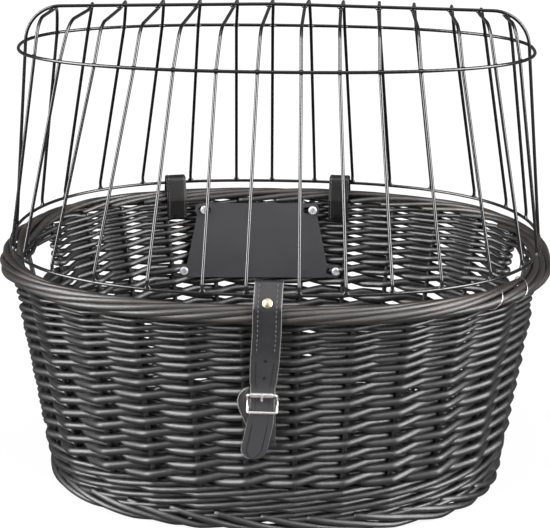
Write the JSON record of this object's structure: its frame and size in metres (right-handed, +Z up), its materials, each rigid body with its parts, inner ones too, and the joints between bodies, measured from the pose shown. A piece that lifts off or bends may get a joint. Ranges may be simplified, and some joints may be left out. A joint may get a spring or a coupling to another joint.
{
  "type": "dog bicycle basket",
  "caption": "Oval woven willow tub with rolled rim and foot, a hinged domed wire grille on leather loops, a buckled leather closing strap and a clamped back plate for a bicycle carrier.",
  "frame": {"origin": "centre of the bounding box in plan, on the plane that the foot border stands on", "axes": "+Z up, +X to the right seen from the buckle side, -Y towards the buckle, +Y towards the hinge loops and the bicycle"},
  "size_m": [0.5062, 0.3776, 0.4449],
  "materials": {
    "willow": "black stained, satin",
    "black_wire": "glossy black powder coat",
    "leather": "grained, satin",
    "plate": "fine matt texture",
    "bracket": "matt",
    "zinc_steel": "bright zinc",
    "nickel_steel": "nickel plated",
    "small_rivet": "black",
    "brass": "polished",
    "tie_wire": "thin bright wire"
  },
  "bodies": {
    "basket": {"rim_border": "willow", "wall_weave": "willow", "wale_band": "willow", "foot_border": "willow", "base_panel": "willow", "base_sticks": "willow", "wall_stakes": "willow", "hinge_loop_left": "leather", "hinge_loop_right": "leather", "hinge_rivets": "small_rivet", "rim_tie": "tie_wire", "clamp_plate": "plate", "adapter_plate": "bracket", "plate_screws": "zinc_steel", "plate_washers": "zinc_steel", "plate_nuts": "zinc_steel", "buckle_chape": "leather", "chape_rivet": "small_rivet"},
    "grille": {"grille_ring": "black_wire", "grille_shoulder": "black_wire", "grille_ridge": "black_wire", "grille_arch_01": "black_wire", "grille_arch_02": "black_wire", "grille_arch_03": "black_wire", "grille_arch_04": "black_wire", "grille_arch_05": "black_wire", "grille_arch_06": "black_wire", "grille_arch_07": "black_wire", "grille_arch_08": "black_wire", "grille_arch_09": "black_wire", "grille_arch_10": "black_wire", "grille_arch_11": "black_wire", "grille_arch_12": "black_wire", "grille_arch_13": "black_wire", "grille_arch_14": "black_wire"},
    "closure": {"closure_strap": "leather", "closure_rivet": "brass"},
    "buckle": {"buckle_frame": "nickel_steel"},
    "prong": {"buckle_prong": "nickel_steel"},
    "roller": {"buckle_roller": "nickel_steel"}
  },
  "joints": [
    {"name": "lid_hinge", "type": "hinge", "parent": "basket", "child": "grille", "pos_m": [-0.02778, 0.15223, 0.23215], "axis": [-0.9985, -0.0556, 0], "range_deg": [0, 100]},
    {"name": "strap_swing", "type": "hinge", "parent": "grille", "child": "closure", "pos_m": [0.00022, -0.17302, 0.23215], "axis": [-0.9985, -0.0556, 0], "range_deg": [-100, 0], "deforming": ["closure_strap"]},
    {"name": "buckle_swing", "type": "hinge", "parent": "basket", "child": "buckle", "pos_m": [0.00022, -0.17471, 0.138], "axis": [1, 0, 0], "range_deg": [-10, 10]},
    {"name": "prong_swing", "type": "hinge", "parent": "buckle", "child": "prong", "pos_m": [0.00022, -0.17471, 0.138], "axis": [1, 0, 0], "range_deg": [0, 45]},
    {"name": "roller_spin", "type": "hinge", "parent": "buckle", "child": "roller", "pos_m": [0.00022, -0.18271, 0.146], "axis": [1, 0, 0], "continuous": true}
  ],
  "couplings": [
    {"joint": "strap_swing", "follows": "lid_hinge", "ratio": -1}
  ]
}
